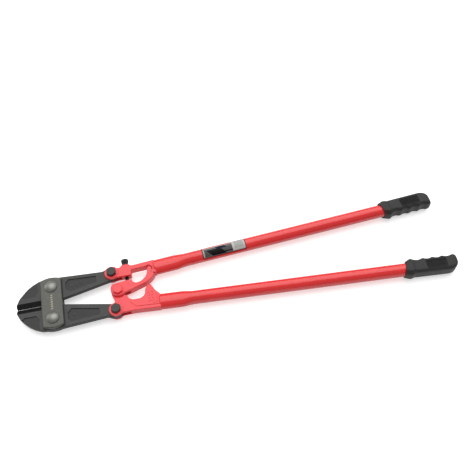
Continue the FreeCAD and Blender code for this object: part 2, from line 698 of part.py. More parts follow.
def ellipse_sketch(body, name, at, tall, thick):
    """An ellipse across the handle, `at` along it: tall in the tool's plane, thick across it."""
    sketch = new_sketch(body, name, "YZ_Plane", offset=str(at))
    if abs(tall - thick) < 1e-6:
        sketch.addGeometry(Part.Circle(Vector(0, 0, 0), Vector(0, 0, 1), tall), False)
    elif tall > thick:
        sketch.addGeometry(Part.Ellipse(Vector(tall, 0, 0), Vector(0, thick, 0), Vector(0, 0, 0)), False)
    else:
        sketch.addGeometry(Part.Ellipse(Vector(0, thick, 0), Vector(-tall, 0, 0), Vector(0, 0, 0)), False)
    return sketch


def loft(body, name, stations, cut=False, ruled=False):
    """Lofts through ellipses given as (place along the handle, half tall, half thick)."""
    before = body.Shape.Volume if cut else 0.0
    sketches = [ellipse_sketch(body, f"{name}_{i}", *station) for i, station in enumerate(stations)]
    kind = "PartDesign::SubtractiveLoft" if cut else "PartDesign::AdditiveLoft"
    feature = body.newObject(kind, name)
    feature.Profile = sketches[0]
    feature.Sections = sketches[1:]
    feature.Ruled = ruled
    doc.recompute()
    if cut and before - body.Shape.Volume < 0.5:
        raise RuntimeError(f"{body.Label}: {name} removed nothing")
    return feature


def tube_stations(start, end, shrink):
    """Oval at the head, easing to round, then round to the far end."""
    tall = size("oval_half_tall") - shrink
    thick = size("oval_half_thick") - shrink
    radius = size("tube_radius") - shrink
    oval_end = size("tube_start") + size("oval_long")
    steps = 8
    stations = [(start, tall, thick), (oval_end, tall, thick)]
    for i in range(1, steps):
        share = i / steps
        ease = share * share * (3.0 - 2.0 * share)
        stations.append((oval_end + share * size("taper_long"), tall + (radius - tall) * ease,
                         thick + (radius - thick) * ease))
    stations.append((oval_end + size("taper_long"), radius, radius))
    stations.append((end, radius, radius))
    return stations


def make_tube(label, side):
    """A steel handle tube, flattened where it grips the head's spigot."""
    body = new_body(label)
    start = size("tube_start")
    end = size("tube_end")
    inside = tube_stations(start - 1.0, end + 1.0, size("tube_wall"))
    loft(body, label + "_wall", tube_stations(start, end, 0.0), ruled=True)
    loft(body, label + "_inside", inside, cut=True, ruled=True)
    place_on_handle(body, side)
    return body


def make_grip(label, side):
    """A moulded grip: flared collar, swelling body and a closed rounded end."""
    body = new_body(label)
    start = size("grip_start")
    end = size("grip_end")
    tall = size("grip_half_tall")
    thick = size("grip_half_thick")
    collar = start + size("grip_collar_at")
    stations = [
        (start, 15.6, 15.4), (collar - 6.0, tall, thick - 0.6), (collar, tall + 1.5, thick),
        (collar + 6.0, tall - 1.5, thick - 1.0), (collar + 22.0, tall - 3.2, thick - 2.0),
        (end - 40.0, tall - 2.0, thick - 1.2), (end - 14.0, tall - 1.2, thick - 0.8),
        (end - 5.0, tall - 3.0, thick - 2.4), (end, tall - 7.5, thick - 6.0),
    ]
    loft(body, label + "_body", stations, ruled=True)
    bore = ellipse_sketch(body, label + "_bore", start - 1.0, size("tube_radius"), size("tube_radius"))
    pocket(body, label + "_socket", bore, "Sizes.tube_end - Sizes.grip_start + 1.5", reverse=True)
    place_on_handle(body, side)
    return body


def make_label():
    """A thin printed label wrapped round the front of the upper tube."""
    label = "handle_label"
    body = new_body(label)
    sketch = new_sketch(body, label + "_ring", "YZ_Plane", offset="Sizes.label_start")
    inner = size("tube_radius")
    outer = inner + size("label_thick")
    half = math.radians(size("label_turn"))
    middle = math.radians(90.0)

    def on_ring(radius, angle):
        return Vector(radius * math.cos(angle), radius * math.sin(angle), 0)

    low, high = middle - half, middle + half
    sketch.addGeometry(Part.Arc(on_ring(outer, low), on_ring(outer, middle), on_ring(outer, high)), False)
    sketch.addGeometry(Part.LineSegment(on_ring(outer, high), on_ring(inner, high)), False)
    sketch.addGeometry(Part.Arc(on_ring(inner, high), on_ring(inner, middle), on_ring(inner, low)), False)
    sketch.addGeometry(Part.LineSegment(on_ring(inner, low), on_ring(outer, low)), False)
    pad(body, label + "_sheet", sketch, "Sizes.label_long")
    place_on_handle(body, UPPER)
    return body


# ---------------------------------------------------------------- the assembly

make_jaw("upper_jaw", UPPER)
make_jaw("lower_jaw", LOWER)
make_side_plate("front_side_plate", FRONT)
make_side_plate("rear_side_plate", REAR)
PLATE_FACE = "Sizes.jaw_thick / 2 + Sizes.plate_gap + Sizes.plate_thick"
for side, word in ((UPPER, "upper"), (LOWER, "lower")):
    make_jaw_bolt(f"{word}_jaw_bolt", side)
    make_nut(f"{word}_jaw_nut", "jaw_nut_across", "Sizes.jaw_nut_high", "Sizes.jaw_bolt_radius", PLATE_FACE,
             "-Sizes.tool_middle", f"{side} * Sizes.jaw_pivot_y")

make_upper_head()
make_lower_head()
make_adjuster_arm()
make_adjuster_screw()

HEAD_FACE = "Sizes.head_thick / 2"
LINK_X = "Sizes.link_pivot_x - Sizes.tool_middle"
CENTRE_X = "Sizes.centre_pivot_x - Sizes.tool_middle"
TIP = "Sizes.head_thick / 2 + Sizes.washer_thick + Sizes.nut_high + 1.0"
for word, high, x_place, y_place in (
        ("upper_link", "Sizes.hex_high", LINK_X, "Sizes.link_pivot_y"),
        ("lower_link", "Sizes.hex_high", LINK_X, "-Sizes.link_pivot_y"),
        ("centre", "Sizes.centre_hex_high", CENTRE_X, "0")):
    make_hex_bolt(f"{word}_bolt", high, HEAD_FACE, TIP, x_place, y_place)
    make_spring_washer(f"{word}_spring_washer", HEAD_FACE, x_place, y_place)
    make_nut(f"{word}_nut", "hex_across", "Sizes.nut_high", "Sizes.link_bolt_radius",
             HEAD_FACE + " + Sizes.washer_thick", x_place, y_place)

for side, word in ((UPPER, "upper"), (LOWER, "lower")):
    make_tube(f"{word}_handle_tube", side)
    make_grip(f"{word}_grip", side)
make_label()

doc.recompute()
for item in doc.Objects:
    if "Invalid" in item.State or "Error" in item.State:
        raise RuntimeError(f"{item.Name} failed: {item.State}")
os.makedirs("parts", exist_ok=True)
for part in PARTS:
    shape = part.Shape
    if shape.isNull() or not shape.isValid():
        raise RuntimeError(f"{part.Label} has no valid shape")
    shape.exportStep(f"parts/{part.Label}.step")
    print(f"{part.Label}: {len(shape.Solids)} solid, {shape.Volume / 1000.0:.1f} cm3")
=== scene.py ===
"""Looks for long-handled bolt cutters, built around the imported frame.

Lengths are metres. The tool lies flat: X runs from the jaws to the grips, +Y is the adjuster screw's side
and z = 0 is the surface under it. A handle's own frame has x along its tube from the foot of the centre
pivot, y away from the other handle and z up.
"""

import logging
import math
from contextlib import contextmanager
from dataclasses import dataclass
from enum import Enum
from typing import Callable, Iterator, Sequence

import bmesh
import bpy
from mathutils import Matrix, Vector


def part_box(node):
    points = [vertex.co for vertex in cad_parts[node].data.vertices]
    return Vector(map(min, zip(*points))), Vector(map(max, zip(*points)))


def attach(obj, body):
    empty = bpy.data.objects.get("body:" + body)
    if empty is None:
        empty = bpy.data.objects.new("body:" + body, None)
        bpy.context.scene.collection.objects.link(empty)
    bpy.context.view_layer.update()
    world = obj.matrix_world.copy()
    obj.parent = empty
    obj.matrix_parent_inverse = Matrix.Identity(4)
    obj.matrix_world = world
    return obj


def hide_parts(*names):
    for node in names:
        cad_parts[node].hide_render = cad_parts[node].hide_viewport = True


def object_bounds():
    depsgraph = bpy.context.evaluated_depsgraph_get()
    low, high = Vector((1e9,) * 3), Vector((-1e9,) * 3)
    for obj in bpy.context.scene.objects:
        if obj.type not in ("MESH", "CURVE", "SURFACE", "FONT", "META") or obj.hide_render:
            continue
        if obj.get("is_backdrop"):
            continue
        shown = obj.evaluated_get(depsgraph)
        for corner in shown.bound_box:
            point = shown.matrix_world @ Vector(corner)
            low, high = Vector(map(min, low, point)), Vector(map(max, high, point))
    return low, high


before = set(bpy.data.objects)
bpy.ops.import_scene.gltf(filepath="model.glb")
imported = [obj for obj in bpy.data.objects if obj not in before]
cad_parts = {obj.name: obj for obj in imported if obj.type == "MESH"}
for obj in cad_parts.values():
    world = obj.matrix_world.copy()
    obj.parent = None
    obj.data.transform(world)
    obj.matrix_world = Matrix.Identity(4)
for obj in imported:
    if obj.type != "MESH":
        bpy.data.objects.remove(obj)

log = logging.getLogger("bolt_cutters")
MM = 0.001
Colour = tuple[float, float, float]


class Side(Enum):
    """Which half of the tool a piece belongs to."""

    UPPER = 1
    LOWER = -1

    @property
    def word(self) -> str:
        """The word that this side's nodes and bodies start with."""
        return self.name.lower()


class Pick(Enum):
    """What an edit-mode selection is made of."""

    VERTS = (True, False, False)
    EDGES = (False, True, False)
    FACES = (False, False, True)


# ---------------------------------------------------------------- shader maths

class Signal:
    """A shader socket that can be used in Python expressions."""

    def __init__(self, bench: "PaintBench", socket: bpy.types.NodeSocket) -> None:
        """Wraps a socket of the material on a bench."""
        self.bench = bench
        self.socket = socket

    def _math(self, operation: str, first: "Signal | float", second: "Signal | float") -> "Signal":
        """Adds a Math node for first and second."""
        return self.bench.node("ShaderNodeMath", {"operation": operation}, {0: first, 1: second})

    def __add__(self, other: "Signal | float") -> "Signal":
        """self + other."""
        return self._math("ADD", self, other)

    def __radd__(self, other: float) -> "Signal":
        """other + self."""
        return self._math("ADD", other, self)

    def __sub__(self, other: "Signal | float") -> "Signal":
        """self - other."""
        return self._math("SUBTRACT", self, other)

    def __rsub__(self, other: float) -> "Signal":
        """other - self."""
        return self._math("SUBTRACT", other, self)

    def __mul__(self, other: "Signal | float") -> "Signal":
        """self * other."""
        return self._math("MULTIPLY", self, other)

    def __rmul__(self, other: float) -> "Signal":
        """other * self."""
        return self._math("MULTIPLY", other, self)

    def __truediv__(self, other: "Signal | float") -> "Signal":
        """self / other."""
        return self._math("DIVIDE", self, other)

    def __abs__(self) -> "Signal":
        """The size of self."""
        return self._math("ABSOLUTE", self, 0.0)

    def above(self, edge: float, soft: float = 0.0) -> "Signal":
        """A mask that is 1 where self is over an edge.

        Args:
            edge: the value where the mask turns over.
            soft: the width of the change, or 0 for a hard edge.

        Returns:
            The mask, from 0 to 1.
        """
        if soft == 0.0:
            return self._math("GREATER_THAN", self, edge)
        low, high = edge - soft / 2.0, edge + soft / 2.0
        return self.bench.node(
            "ShaderNodeMapRange", {"interpolation_type": "SMOOTHSTEP"},
            {"Value": self, "From Min": low, "From Max": high})

    def inside(self, low: float, high: float, soft: float = 0.0) -> "Signal":
        """A mask that is 1 where self lies between two values."""
        return self.above(low, soft) * (1.0 - self.above(high, soft))


class PaintBench:
    """One material while its nodes are put together."""

    def __init__(self, name: str) -> None:
        """Starts an empty material."""
        self.material = bpy.data.materials.new(name)
        self.material.use_nodes = True
        self.tree = self.material.node_tree
        self.tree.nodes.clear()

    def node(self, kind: str, settings: dict[str, object] | None = None,
             inputs: dict[str | int, object] | None = None, output: str | int = 0) -> Signal:
        """Adds a node.

        Args:
            kind: the node's type.
            settings: properties that are set before its sockets are filled.
            inputs: values or signals by a socket's name, identifier or number.
            output: the output to hand back.

        Returns:
            That output as a signal.
        """
        made = self.tree.nodes.new(kind)
        for key, value in (settings or {}).items():
            setattr(made, key, value)
        for key, value in (inputs or {}).items():
            socket = self._find(made.inputs, key)
            if isinstance(value, Signal):
                self.tree.links.new(value.socket, socket)
            elif isinstance(value, tuple) and socket.type == "RGBA":
                socket.default_value = (*value, 1.0)
            else:
                socket.default_value = value
        return Signal(self, self._find(made.outputs, output))

    @staticmethod
    def _find(sockets: Sequence[bpy.types.NodeSocket], key: str | int) -> bpy.types.NodeSocket:
        """A socket by its number, identifier or name."""
        if isinstance(key, int):
            return sockets[key]
        named = [s for s in sockets if s.identifier == key] or [s for s in sockets if s.name == key]
        return named[0]

    def place(self, centre: Vector = Vector(), turn: float = 0.0,
              stretch: Colour = (1.0, 1.0, 1.0)) -> Signal:
        """Object coordinates, centred on a point and turned about Z.

        Args:
            centre: the point that becomes the origin.
            turn: the angle, in radians, of the new x axis to the old one.
            stretch: what each of the new coordinates is multiplied by.

        Returns:
            The coordinates as a vector signal.
        """
        point = self.node("ShaderNodeTexCoord", output="Object")
        moved = self.node("ShaderNodeMapping", {"vector_type": "POINT"},
                          {"Vector": point, "Location": tuple(-c for c in centre)})
        turned = self.node("ShaderNodeMapping", {"vector_type": "POINT"},
                           {"Vector": moved, "Rotation": (0.0, 0.0, -turn)})
        return self.node("ShaderNodeMapping", {"vector_type": "POINT"}, {"Vector": turned, "Scale": stretch})

    def split(self, vector: Signal) -> tuple[Signal, Signal, Signal]:
        """The three numbers of a vector."""
        made = self.tree.nodes.new("ShaderNodeSeparateXYZ")
        self.tree.links.new(vector.socket, made.inputs[0])
        return Signal(self, made.outputs[0]), Signal(self, made.outputs[1]), Signal(self, made.outputs[2])

    def grain(self, at: Signal, size: float, detail: float = 3.0, rough: float = 0.5) -> Signal:
        """Soft noise whose features are about a size across, from 0 to 1."""
        return self.node("ShaderNodeTexNoise", {"noise_dimensions": "3D"},
                         {"Vector": at, "Scale": 1.0 / size, "Detail": detail, "Roughness": rough}, "Fac")

    def blend(self, share: Signal | float, first: Signal | Colour, second: Signal | Colour) -> Signal:
        """A colour from first to second as share goes from 0 to 1."""
        return self.node("ShaderNodeMix", {"data_type": "RGBA"},
                         {"Factor_Float": share, "A_Color": first, "B_Color": second}, "Result_Color")

    def relief(self, height: Signal, depth: float, strength: float = 1.0) -> Signal:
        """A surface normal from a height that runs over about 0 to 1."""
        return self.node("ShaderNodeBump", None, {"Strength": strength, "Distance": depth, "Height": height})

    def finish(self, **sockets: object) -> bpy.types.Material:
        """Ends the material in one Principled shader.

        Args:
            sockets: its sockets, with underscores for spaces.

        Returns:
            The finished material.
        """
        inputs = {name.replace("_", " "): value for name, value in sockets.items()}
        surface = self.node("ShaderNodeBsdfPrincipled", None, inputs)
        self.node_output(surface)
        return self.material

    def node_output(self, surface: Signal) -> None:
        """Joins a shader to the material's output."""
        out = self.tree.nodes.new("ShaderNodeOutputMaterial")
        self.tree.links.new(surface.socket, out.inputs["Surface"])


def shade(colour: Colour, factor: float) -> Colour:
    """A colour made darker or lighter by a factor."""
    return (colour[0] * factor, colour[1] * factor, colour[2] * factor)


# ---------------------------------------------------------------- finishes

@dataclass(frozen=True)
class CastingPaint:
    """Red powder coat over a casting whose skin shows through as a faint ripple."""

    colour: Colour = (0.86, 0.052, 0.064)
    roughness: float = 0.40
    ripple: float = 5.0 * MM
    peel: float = 0.9 * MM

    def material(self, name: str) -> bpy.types.Material:
        """Builds the material."""
        bench = PaintBench(name)
        at = bench.place()
        cloud = bench.grain(at, 26.0 * MM, 4.0)
        skin = bench.grain(at, self.ripple, 3.0)
        peel = bench.grain(at, self.peel, 2.0)
        speck = bench.grain(at, 1.6 * MM, 1.0).above(0.76, 0.05)
        base = bench.blend(cloud, shade(self.colour, 0.88), shade(self.colour, 1.08))
        base = bench.blend(speck * 0.25, base, shade(self.colour, 0.45))
        return bench.finish(
            Base_Color=base, Roughness=self.roughness + 0.16 * (cloud - 0.5) + 0.06 * (peel - 0.5),
            Normal=bench.relief(skin * 0.7 + peel * 0.3, 0.22 * MM, 0.55), Coat_Weight=0.12,
            Coat_Roughness=0.3)


@dataclass(frozen=True)
class TubePaint:
    """Gloss powder coat on a drawn tube, with faint marks that run along it."""

    side: Side
    colour: Colour = (0.80, 0.018, 0.020)
    roughness: float = 0.27

    def material(self, name: str) -> bpy.types.Material:
        """Builds the material."""
        bench = PaintBench(name)
        turn = Handle(self.side).turn
        along = bench.place(turn=turn, stretch=(0.05, 1.0, 1.0))
        at = bench.place()
        draw = bench.grain(along, 2.2 * MM, 3.0)
        cloud = bench.grain(at, 40.0 * MM, 3.0)
        peel = bench.grain(at, 1.4 * MM, 2.0)
        scuff = bench.grain(along, 0.7 * MM, 2.0, 0.7).above(0.73, 0.05)
        base = bench.blend(cloud, shade(self.colour, 0.90), shade(self.colour, 1.06))
        base = bench.blend(scuff * 0.12, base, shade(self.colour, 0.55))
        return bench.finish(
            Base_Color=base, Roughness=self.roughness + 0.10 * (draw - 0.5) + 0.10 * scuff,
            Normal=bench.relief(peel * 0.6 + draw * 0.4, 0.10 * MM, 0.30), Coat_Weight=0.35,
            Coat_Roughness=0.18)


@dataclass(frozen=True)
class BlackedSteel:
    """Steel under a black oxide skin, cloudy and slightly worn."""

    dark: Colour = (0.022, 0.023, 0.022)
    light: Colour = (0.058, 0.061, 0.057)
    roughness: float = 0.45
    metallic: float = 0.55
    cloud: float = 16.0 * MM
    pit: float = 0.9 * MM
    depth: float = 0.10 * MM

    def layers(self, bench: PaintBench) -> tuple[Signal, Signal, Signal]:
        """The colour, roughness and height that every blacked piece starts from."""
        at = bench.place()
        cloud = bench.grain(at, self.cloud, 7.0, 0.62)
        pit = bench.grain(at, self.pit, 3.0, 0.6)
        rub = bench.grain(at, 5.0 * MM, 5.0, 0.7).above(0.62, 0.12)
        base = bench.blend(cloud, self.dark, self.light)
        base = bench.blend(rub * 0.35, base, shade(self.light, 1.5))
        rough = self.roughness + 0.22 * (cloud - 0.5) + 0.10 * (pit - 0.5)
        return base, rough, cloud * 0.35 + pit * 0.65

    def material(self, name: str) -> bpy.types.Material:
        """Builds the material."""
        bench = PaintBench(name)
        base, rough, height = self.layers(bench)
        return bench.finish(Base_Color=base, Roughness=rough, Metallic=self.metallic,
                            Normal=bench.relief(height, self.depth, 0.6))


@dataclass(frozen=True)
class JawSteel(BlackedSteel):
    """Forged, blacked jaw steel with a ground bevel along the cutting edge, its colour painted near-black as
    painted shade, and darker recesses.
    """

    bevel_wide: float = 11.1 * MM
    bevel_stop: float = -12.0 * MM
    line: float = 0.35 * MM

    def material(self, name: str) -> bpy.types.Material:
        """Builds the material."""
        bench = PaintBench(name)
        base, rough, height = self.layers(bench)
        origin = TOOL.point(0.0, 0.0, 0.0)
        at = bench.place(centre=origin)
        x, y, z = bench.split(at)
        ground = (1.0 - abs(y).above(self.bevel_wide, 0.1 * MM)) * (1.0 - x.above(self.bevel_stop, 0.1 * MM))
        floor = 1.0 - abs(z).above(3.5 * MM, 0.4 * MM)
        sunk = floor * (1.0 - ground)
        lines = bench.grain(bench.place(stretch=(1.0, 0.03, 0.03)), self.line, 2.0, 0.6)
        base = bench.blend(sunk * 0.4, base, self.dark)
        # The ground bevel's colour is painted near-black: painted shade standing in for the dark reflection
        # its slope catches.
        base = bench.blend(ground * (0.75 + 0.2 * lines), base, shade(self.dark, 0.42))
        rough = rough + 0.08 * sunk - ground * (0.17 - 0.12 * lines)
        height = height * (1.0 - ground) + lines * ground * 0.25
        return bench.finish(Base_Color=base, Roughness=rough, Metallic=self.metallic + 0.35 * ground,
                            Normal=bench.relief(height, self.depth, 0.6))


@dataclass(frozen=True)
class PlateSteel(BlackedSteel):
    """Blanked plate: paler than the jaws, with the marks of rolling across it."""

    dark: Colour = (0.070, 0.070, 0.064)
    light: Colour = (0.120, 0.120, 0.108)
    roughness: float = 0.48
    metallic: float = 0.60
    cloud: float = 22.0 * MM

    def material(self, name: str) -> bpy.types.Material:
        """Builds the material."""
        bench = PaintBench(name)
        base, rough, height = self.layers(bench)
        rolled = bench.grain(bench.place(stretch=(1.0, 0.06, 1.0)), 1.1 * MM, 3.0, 0.6)
        base = bench.blend(rolled * 0.35, base, shade(self.dark, 0.75))
        return bench.finish(Base_Color=base, Roughness=rough + 0.12 * (rolled - 0.5), Metallic=self.metallic,
                            Normal=bench.relief(height * 0.6 + rolled * 0.4, 0.08 * MM, 0.5))


@dataclass(frozen=True)
class TurnedSteel:
    """Satin steel turned on a lathe: fine rings round a bolt's axis."""

    axis: Vector
    colour: Colour = (0.24, 0.24, 0.222)
    roughness: float = 0.44
    ring: float = 0.45 * MM

    def material(self, name: str) -> bpy.types.Material:
        """Builds the material."""
        bench = PaintBench(name)
        at = bench.place(centre=self.axis, stretch=(1.0, 1.0, 0.0))
        away = bench.node("ShaderNodeVectorMath", {"operation": "LENGTH"}, {0: at}, "Value")
        rings = bench.node("ShaderNodeTexNoise", {"noise_dimensions": "1D"},
                           {"W": away, "Scale": 1.0 / self.ring, "Detail": 2.0}, 0)
        whole = bench.place()
        cloud = bench.grain(whole, 9.0 * MM, 5.0, 0.6)
        nick = bench.grain(whole, 1.8 * MM, 3.0, 0.7).above(0.70, 0.06)
        base = bench.blend(cloud, shade(self.colour, 0.78), shade(self.colour, 1.18))
        base = bench.blend(nick * 0.4, base, shade(self.colour, 0.35))
        return bench.finish(
            Base_Color=base, Metallic=1.0,
            Roughness=self.roughness + 0.14 * (cloud - 0.5) + 0.10 * (rings - 0.5),
            Normal=bench.relief(rings * 0.6 + cloud * 0.4, 0.05 * MM, 0.45))


@dataclass(frozen=True)
class MouldedRubber:
    """Black moulded grip rubber with a fine spark-eroded texture and a little dust."""

    side: Side
    colour: Colour = (0.013, 0.013, 0.012)
    roughness: float = 0.50
    panel_from: float = 641.5 * MM
    panel_to: float = 684.5 * MM
    panel_half: float = 11.0 * MM

    def material(self, name: str) -> bpy.types.Material:
        """Builds the material."""
        bench = PaintBench(name)
        at = bench.place()
        handle = Handle(self.side)
        x, y, z = bench.split(bench.place(centre=handle.foot, turn=handle.turn))
        panel = x.inside(self.panel_from, self.panel_to, 1.0 * MM) * (1.0 - abs(y).above(self.panel_half, MM))
        panel = panel * z.above(10.0 * MM, MM)
        cloud = bench.grain(at, 18.0 * MM, 4.0, 0.6)
        spark = bench.grain(at, 0.55 * MM, 2.0, 0.6)
        dust = bench.grain(at, 3.0 * MM, 5.0, 0.7).above(0.60, 0.16)
        base = bench.blend(cloud, shade(self.colour, 0.72), shade(self.colour, 1.35))
        base = bench.blend(dust * 0.25, base, shade(self.colour, 2.3))
        base = bench.blend(panel * 0.75, base, shade(self.colour, 0.25))
        return bench.finish(
            Base_Color=base, Roughness=self.roughness + 0.18 * (cloud - 0.5) + 0.12 * spark + 0.2 * panel,
            Normal=bench.relief(spark, 0.10 * MM, 0.5), Specular_IOR_Level=0.42)


@dataclass(frozen=True)
class PalePrint:
    """Pale, slightly rubbed paint for a printed mark."""

    colour: Colour = (0.44, 0.40, 0.27)

    def material(self, name: str) -> bpy.types.Material:
        """Builds the material."""
        bench = PaintBench(name)
        at = bench.place()
        rub = bench.grain(at, 1.3 * MM, 4.0, 0.7)
        base = bench.blend(rub.above(0.5, 0.3), shade(self.colour, 0.45), self.colour)
        return bench.finish(Base_Color=base, Roughness=0.5 + 0.2 * (rub - 0.5),
                            Normal=bench.relief(rub, 0.04 * MM, 0.4))


@dataclass(frozen=True)
class LabelPrint:
    """A printed film: plain blocks of grey, black, white and red, with no lettering."""

    long: float
    start: float

    def material(self, name: str) -> bpy.types.Material:
        """Builds the material."""
        bench = PaintBench(name)
        handle = Handle(Side.UPPER)
        at = bench.place(centre=handle.foot, turn=handle.turn)
        x, y, z = bench.split(at)
        u = (x - self.start) / self.long
        round_tube = bench.node("ShaderNodeMath", {"operation": "ARCTAN2"}, {0: y, 1: z})
        v = round_tube * (180.0 / math.pi)

        def box(left: float, right: float, low: float, high: float) -> Signal:
            """A block between two shares of the length and two angles round the tube."""
            return u.inside(left, right) * v.inside(low, high)

        black, white = (0.004, 0.004, 0.005), (0.52, 0.52, 0.50)
        grey, red = (0.13, 0.13, 0.125), (0.74, 0.02, 0.02)
        stripe = self._stripes(bench, u * 46.0, 0.5)
        fine = self._stripes(bench, u * 70.0, 0.5)
        rows = self._stripes(bench, v * 0.125, 0.5)
        slant = u + v * 0.0022
        edge = 1.0 - box(0.016, 0.984, -60.0, 80.0)
        base = bench.blend(box(0.02, 0.04, -56.0, 16.0), grey, white)
        base = bench.blend(box(0.06, 0.17, -50.0, 8.0) * rows * 0.8, base, black)
        base = bench.blend(slant.inside(0.10, 0.43) * v.inside(-54.0, 2.0), base, black)
        base = bench.blend(slant.inside(0.34, 0.56) * v.inside(-4.0, 22.0), base, (0.006, 0.008, 0.035))
        base = bench.blend(slant.inside(0.36, 0.66) * v.inside(-44.0, -34.0), base, black)
        base = bench.blend(box(0.44, 0.68, -32.0, 0.0) * fine * 0.7, base, black)
        base = bench.blend(box(0.02, 0.69, 22.0, 80.0), base, white)
        base = bench.blend(box(0.04, 0.67, 27.0, 80.0) * (0.35 + 0.65 * stripe), base, red)
        base = bench.blend(box(0.69, 0.984, -54.0, 80.0), base, white)
        bars = box(0.74, 0.94, -36.0, 42.0) * rows * (0.4 + 0.4 * fine)
        base = bench.blend(bars, base, (0.10, 0.10, 0.095))
        base = bench.blend(edge, base, black)
        base = bench.blend(1.0 - v.above(-64.0), base, TubePaint(Side.UPPER).colour)
        wrinkle = bench.grain(bench.place(), 2.4 * MM, 3.0)
        return bench.finish(Base_Color=base, Roughness=0.44 + 0.14 * wrinkle, Specular_IOR_Level=0.12,
                            Normal=bench.relief(wrinkle, 0.06 * MM, 0.35))

    @staticmethod
    def _stripes(bench: PaintBench, run: Signal, duty: float) -> Signal:
        """A mask of even stripes, 1 for a share of each unit of the run."""
        part = bench.node("ShaderNodeMath", {"operation": "FRACT"}, {0: run})
        return 1.0 - part.above(duty)


@dataclass(frozen=True)
class StudioFloor:
    """A plain pale sheet that glows a little."""

    colour: Colour = (0.88, 0.88, 0.88)
    glow: float = 0.50

    def material(self, name: str) -> bpy.types.Material:
        """Builds the material."""
        bench = PaintBench(name)
        cloud = bench.grain(bench.place(), 400.0 * MM, 2.0)
        base = bench.blend(cloud, shade(self.colour, 0.99), self.colour)
        return bench.finish(Base_Color=base, Roughness=0.8, Specular_IOR_Level=0.2,
                            Emission_Color=(1.0, 1.0, 1.0), Emission_Strength=self.glow)


# ---------------------------------------------------------------- where things are

@dataclass(frozen=True)
class Tool:
    """Where the whole tool lies, read from the frame."""

    centre_pivot: float = 133.5 * MM
    rest_angle: float = 4.0
    tube_offset: float = 35.1 * MM

    def point(self, x: float, y: float, z: float) -> Vector:
        """A place given from the jaw pivots' line and the middle plane, in the row frame."""
        low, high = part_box("front_side_plate")
        under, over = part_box("upper_jaw")
        return Vector(((low.x + high.x) / 2.0 + x, y, (under.z + over.z) / 2.0 + z))


TOOL = Tool()


@dataclass(frozen=True)
class Handle:
    """One handle's own frame."""

    side: Side

    @property
    def turn(self) -> float:
        """The tube's angle to the X axis, in radians."""
        return math.radians(TOOL.rest_angle) * self.side.value

    @property
    def foot(self) -> Vector:
        """The point of the tube's axis that is nearest to the centre pivot."""
        lean = math.radians(TOOL.rest_angle)
        return TOOL.point(TOOL.centre_pivot - TOOL.tube_offset * math.sin(lean),
                          self.side.value * TOOL.tube_offset * math.cos(lean), 0.0)

    @property
    def matrix(self) -> Matrix:
        """Carries a mesh from the handle's frame to the row frame, turned over for the lower one."""
        over = Matrix.Scale(self.side.value, 4, (0.0, 1.0, 0.0))
        return Matrix.Translation(self.foot) @ Matrix.Rotation(self.turn, 4, "Z") @ over


# ---------------------------------------------------------------- modelling by operators

class Workpiece:
    """A mesh that is shaped by operators in its own frame and then set in place."""

    def __init__(self, name: str, add: Callable[..., object], **settings: object) -> None:
        """Adds a primitive.

        Args:
            name: the piece's name.
            add: the operator that adds the primitive.
            settings: the operator's settings.
        """
        bpy.ops.object.select_all(action="DESELECT")
        add(**settings)
        self.body = bpy.context.active_object
        self.body.name = name
        self.body.data.name = name
        bpy.ops.object.transform_apply(location=True, rotation=True, scale=True)

    def focus(self) -> None:
        """Makes this the only selected object, and the active one."""
        bpy.ops.object.select_all(action="DESELECT")
        self.body.select_set(True)
        bpy.context.view_layer.objects.active = self.body

    @contextmanager
    def editing(self) -> Iterator[None]:
        """Edit mode on this piece."""
        self.focus()
        bpy.ops.object.mode_set(mode="EDIT")
        try:
            yield
        finally:
            bpy.ops.object.mode_set(mode="OBJECT")

    def pick(self, kind: Pick, test: Callable[[Vector, Vector], bool]) -> None:
        """Selects what passes a test.

        Args:
            kind: what is selected.
            test: given a middle point, and a face's normal or an edge's direction.
        """
        bpy.context.tool_settings.mesh_select_mode = kind.value
        mesh = bmesh.from_edit_mesh(self.body.data)
        for bag in (mesh.faces, mesh.edges, mesh.verts):
            for item in bag:
                item.select = False
        if kind is Pick.VERTS:
            chosen = [v for v in mesh.verts if test(v.co, v.normal)]
        elif kind is Pick.EDGES:
            ends = [(e, e.verts[0].co, e.verts[1].co) for e in mesh.edges]
            chosen = [e for e, first, last in ends
                      if test((first + last) / 2.0, (last - first).normalized())]
        else:
            chosen = [f for f in mesh.faces if test(f.calc_center_median(), f.normal)]
        for item in chosen:
            item.select_set(True)
        mesh.select_flush_mode()
        bmesh.update_edit_mesh(self.body.data)

    def reach(self, test: Callable[[Vector], bool], axis: int) -> float:
        """How far the points that pass a test lie from the middle along one axis."""
        mesh = bmesh.from_edit_mesh(self.body.data)
        return max(abs(v.co[axis]) for v in mesh.verts if test(v.co))

    def modify(self, kind: str, **settings: object) -> None:
        """Adds a modifier and applies it."""
        self.focus()
        modifier = self.body.modifiers.new(kind.title(), kind)
        for key, value in settings.items():
            setattr(modifier, key, value)
        bpy.ops.object.modifier_apply(modifier=modifier.name)

    def join(self, others: Sequence["Workpiece"]) -> None:
        """Joins other pieces into this one."""
        self.focus()
        for other in others:
            other.body.select_set(True)
        bpy.ops.object.join()

    def set_down(self, matrix: Matrix, smooth: float = 40.0) -> None:
        """Carries the mesh to the row frame and shades it.

        Args:
            matrix: from the piece's own frame to the row frame.
            smooth: edges sharper than this many degrees stay sharp.
        """
        self.body.data.transform(matrix)
        if matrix.determinant() < 0.0:
            self.body.data.flip_normals()
        self.body.data.update()
        self.focus()
        bpy.ops.object.shade_smooth_by_angle(angle=math.radians(smooth))

    def dress(self, material: bpy.types.Material, body: str, slot: str) -> None:
        """Paints the piece and lets it ride on a body."""
        self.body.data.materials.clear()
        self.body.data.materials.append(material)
        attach(self.body, body)
        log.info("%s rides on %s with %d faces", self.body.name, body, len(self.body.data.polygons))


